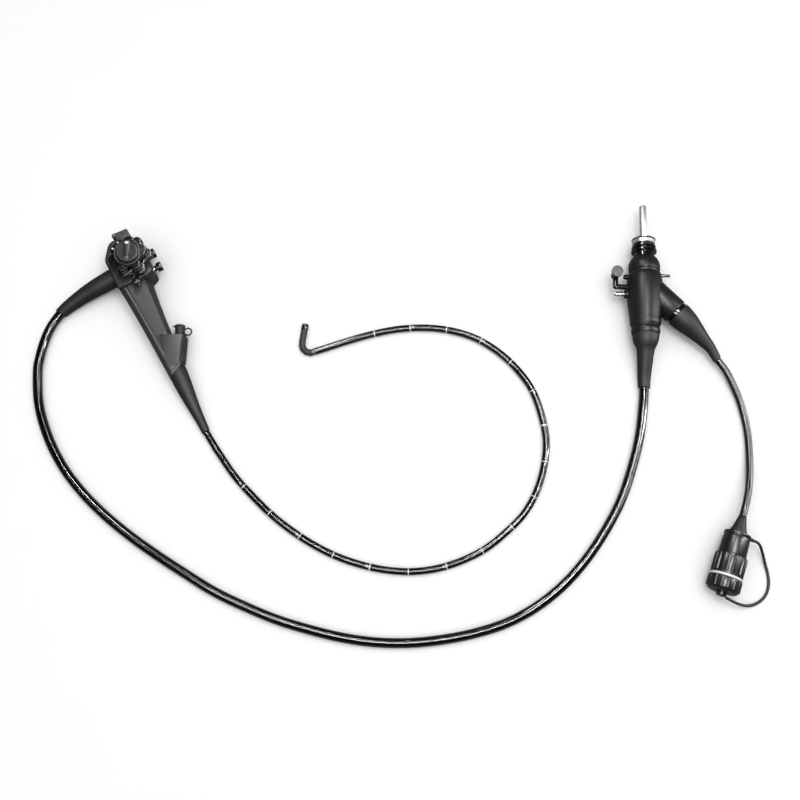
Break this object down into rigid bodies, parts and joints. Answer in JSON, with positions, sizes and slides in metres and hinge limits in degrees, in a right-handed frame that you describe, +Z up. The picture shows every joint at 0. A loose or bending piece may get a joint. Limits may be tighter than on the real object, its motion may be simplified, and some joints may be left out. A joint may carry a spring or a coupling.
{
  "type": "flexible endoscope",
  "caption": "Flexible video endoscope laid out in loops, with a control section of knobs and valves, a bending tip, a light-guide connector and a capped video plug.",
  "frame": {"origin": "centre of the bounding box of the rigid pieces at the bench top, without the free cords and the plug on the video cable", "axes": "+X from the control section to the light-guide connector, +Y the way the light guide points, +Z up from the bench"},
  "size_m": [0.9699, 0.5968, 0.0798],
  "materials": {
    "housing_plastic": "satin",
    "gloss_black_plastic": "gloss",
    "black_rubber": "matte",
    "tube_coating": "high gloss",
    "bright_steel": "polished",
    "plain_steel": "brushed",
    "lens_glass": "polished",
    "thread_binding": "coated thread",
    "grey_plastic": "satin",
    "white_seal": "satin"
  },
  "bodies": {
    "control_section": {"housing_lower": "housing_plastic", "housing_upper": "housing_plastic", "control_frame": "plain_steel", "knob_post": "plain_steel", "suction_cylinder": "bright_steel", "air_water_cylinder": "bright_steel", "head_cover": "housing_plastic", "grip": "housing_plastic", "biopsy_port": "bright_steel", "biopsy_valve": "black_rubber", "insertion_boot": "black_rubber", "universal_boot": "black_rubber", "insertion_tube": "tube_coating", "vertebra_0": "plain_steel", "bending_rubber": "black_rubber", "binding_ring": "thread_binding", "universal_cord": "tube_coating", "connector_body": "housing_plastic", "suction_nipple": "bright_steel", "water_nipple": "bright_steel", "connector_collar": "gloss_black_plastic", "light_guide_post": "bright_steel", "connector_boot": "black_rubber", "branch_nut": "gloss_black_plastic", "branch_boot": "black_rubber", "video_cable": "tube_coating", "plug_boot": "black_rubber", "plug_body": "gloss_black_plastic", "plug_seal_ring": "white_seal", "cap_tether": "black_rubber"},
    "up_down_knob": {"ud_knob": "gloss_black_plastic", "ud_drum": "plain_steel"},
    "right_left_knob": {"rl_knob": "gloss_black_plastic", "rl_drum": "plain_steel"},
    "up_down_brake": {"ud_brake_lever": "gloss_black_plastic"},
    "right_left_brake": {"rl_brake_dial": "gloss_black_plastic"},
    "suction_valve": {"suction_button": "gloss_black_plastic"},
    "air_water_valve": {"air_water_button": "gloss_black_plastic"},
    "switch_1": {"remote_switch_1": "black_rubber"},
    "switch_2": {"remote_switch_2": "black_rubber"},
    "switch_3": {"remote_switch_3": "black_rubber"},
    "switch_4": {"remote_switch_4": "black_rubber"},
    "channel_lid": {"biopsy_lid": "black_rubber"},
    "vent": {"vent_cap": "grey_plastic"},
    "coupling_ring": {"plug_coupling_ring": "gloss_black_plastic"},
    "soaking_cap": {"plug_cap": "gloss_black_plastic"},
    "ring_1": {"vertebra_1": "plain_steel"},
    "ring_2": {"vertebra_2": "plain_steel"},
    "ring_3": {"vertebra_3": "plain_steel"},
    "ring_4": {"vertebra_4": "plain_steel"},
    "ring_5": {"vertebra_5": "plain_steel"},
    "ring_6": {"vertebra_6": "plain_steel"},
    "ring_7": {"vertebra_7": "plain_steel"},
    "ring_8": {"vertebra_8": "plain_steel"},
    "ring_9": {"vertebra_9": "plain_steel"},
    "tip": {"distal_tip": "gloss_black_plastic", "objective_lens": "lens_glass", "light_lens_left": "lens_glass", "light_lens_right": "lens_glass", "spray_nozzle": "bright_steel"}
  },
  "joints": [
    {"name": "up_down_knob_turn", "type": "hinge", "parent": "control_section", "child": "up_down_knob", "pos_m": [-0.3424, 0.0717, 0], "axis": [0, 0, 1], "range_deg": [-206, 64]},
    {"name": "right_left_knob_turn", "type": "hinge", "parent": "control_section", "child": "right_left_knob", "pos_m": [-0.3424, 0.0717, 0], "axis": [0, 0, -1], "range_deg": [-100, 100]},
    {"name": "up_down_brake_turn", "type": "hinge", "parent": "control_section", "child": "up_down_brake", "pos_m": [-0.3424, 0.0717, 0], "axis": [0, 0, 1], "range_deg": [0, 45]},
    {"name": "right_left_brake_turn", "type": "hinge", "parent": "control_section", "child": "right_left_brake", "pos_m": [-0.3424, 0.0717, 0], "axis": [0, 0, 1], "range_deg": [0, 60]},
    {"name": "suction_valve_press", "type": "slide", "parent": "control_section", "child": "suction_valve", "axis": [-0.8829, -0.4695, 0], "range_m": [0, 0.003], "stiffness_N_per_m": 60, "springref_m": -0.003},
    {"name": "air_water_valve_press", "type": "slide", "parent": "control_section", "child": "air_water_valve", "axis": [-0.8829, -0.4695, 0], "range_m": [0, 0.003], "stiffness_N_per_m": 60, "springref_m": -0.003},
    {"name": "switch_1_press", "type": "slide", "parent": "control_section", "child": "switch_1", "axis": [0, 0, -1], "range_m": [0, 0.0008], "stiffness_N_per_m": 15, "springref_m": -0.001},
    {"name": "switch_2_press", "type": "slide", "parent": "control_section", "child": "switch_2", "axis": [0, 0, -1], "range_m": [0, 0.0008], "stiffness_N_per_m": 15, "springref_m": -0.001},
    {"name": "switch_3_press", "type": "slide", "parent": "control_section", "child": "switch_3", "axis": [0.4695, -0.8829, 0], "range_m": [0, 0.0008], "stiffness_N_per_m": 15, "springref_m": -0.001},
    {"name": "switch_4_press", "type": "slide", "parent": "control_section", "child": "switch_4", "axis": [0.8829, 0.4695, 0], "range_m": [0, 0.0008], "stiffness_N_per_m": 15, "springref_m": -0.001},
    {"name": "channel_lid_open", "type": "hinge", "parent": "control_section", "child": "channel_lid", "pos_m": [-0.27065, -0.013, 0.016], "axis": [0, 0, -1], "range_deg": [0, 150]},
    {"name": "vent_turn", "type": "hinge", "parent": "control_section", "child": "vent", "pos_m": [0.31394, 0.05797, 0.0244], "axis": [0, 0, 1], "range_deg": [0, 90]},
    {"name": "coupling_ring_turn", "type": "hinge", "parent": "control_section", "child": "coupling_ring", "pos_m": [0.4596, -0.2728, 0.0214], "axis": [-0.3437, -0.9391, 0], "range_deg": [0, 90]},
    {"name": "soaking_cap_turn", "type": "hinge", "parent": "control_section", "child": "soaking_cap", "pos_m": [0.4596, -0.2728, 0.0214], "axis": [-0.3437, -0.9391, 0], "range_deg": [0, 60]},
    {"name": "bend_up_down_1", "type": "hinge", "parent": "control_section", "child": "ring_1", "pos_m": [-0.1016, -0.0471, 0.0047], "axis": [0, 0, -1], "range_deg": [-52, 16.5], "deforming": ["bending_rubber"]},
    {"name": "bend_right_left_1", "type": "hinge", "parent": "ring_1", "child": "ring_2", "pos_m": [-0.10435, -0.04657, 0.0047], "axis": [-0.1908, -0.9816, 0], "range_deg": [-20.5, 20.5]},
    {"name": "bend_up_down_2", "type": "hinge", "parent": "ring_2", "child": "ring_3", "pos_m": [-0.1071, -0.04603, 0.0047], "axis": [0, 0, -1], "range_deg": [-52, 16.5]},
    {"name": "bend_right_left_2", "type": "hinge", "parent": "ring_3", "child": "ring_4", "pos_m": [-0.10924, -0.04423, 0.0047], "axis": [-0.6428, -0.766, 0], "range_deg": [-20.5, 20.5]},
    {"name": "bend_up_down_3", "type": "hinge", "parent": "ring_4", "child": "ring_5", "pos_m": [-0.11139, -0.04243, 0.0047], "axis": [0, 0, -1], "range_deg": [-52, 16.5]},
    {"name": "bend_right_left_3", "type": "hinge", "parent": "ring_5", "child": "ring_6", "pos_m": [-0.11239, -0.03982, 0.0047], "axis": [-0.9336, -0.3584, 0], "range_deg": [-20.5, 20.5]},
    {"name": "bend_up_down_4", "type": "hinge", "parent": "ring_6", "child": "ring_7", "pos_m": [-0.11339, -0.0372, 0.0047], "axis": [0, 0, -1], "range_deg": [-41.34, 13.19]},
    {"name": "bend_right_left_4", "type": "hinge", "parent": "ring_7", "child": "ring_8", "pos_m": [-0.11327, -0.03361, 0.0047], "axis": [-0.9994, 0.0349, 0], "range_deg": [-20.5, 20.5]},
    {"name": "bend_up_down_5", "type": "hinge", "parent": "ring_8", "child": "ring_9", "pos_m": [-0.11314, -0.03001, 0.0047], "axis": [0, 0, -1], "range_deg": [-11.15, 3.81]},
    {"name": "bend_right_left_5", "type": "hinge", "parent": "ring_9", "child": "tip", "pos_m": [-0.11264, -0.02644, 0.0047], "axis": [-0.9903, 0.1392, 0], "range_deg": [-20.5, 20.5]}
  ],
  "couplings": [
    {"joint": "bend_up_down_1", "follows": "up_down_knob_turn", "ratio": 0.25},
    {"joint": "bend_right_left_1", "follows": "right_left_knob_turn", "ratio": 0.2},
    {"joint": "bend_up_down_2", "follows": "up_down_knob_turn", "ratio": 0.25},
    {"joint": "bend_right_left_2", "follows": "right_left_knob_turn", "ratio": 0.2},
    {"joint": "bend_up_down_3", "follows": "up_down_knob_turn", "ratio": 0.25},
    {"joint": "bend_right_left_3", "follows": "right_left_knob_turn", "ratio": 0.2},
    {"joint": "bend_up_down_4", "follows": "up_down_knob_turn", "ratio": 0.19828},
    {"joint": "bend_right_left_4", "follows": "right_left_knob_turn", "ratio": 0.2},
    {"joint": "bend_up_down_5", "follows": "up_down_knob_turn", "ratio": 0.051724},
    {"joint": "bend_right_left_5", "follows": "right_left_knob_turn", "ratio": 0.2}
  ]
}
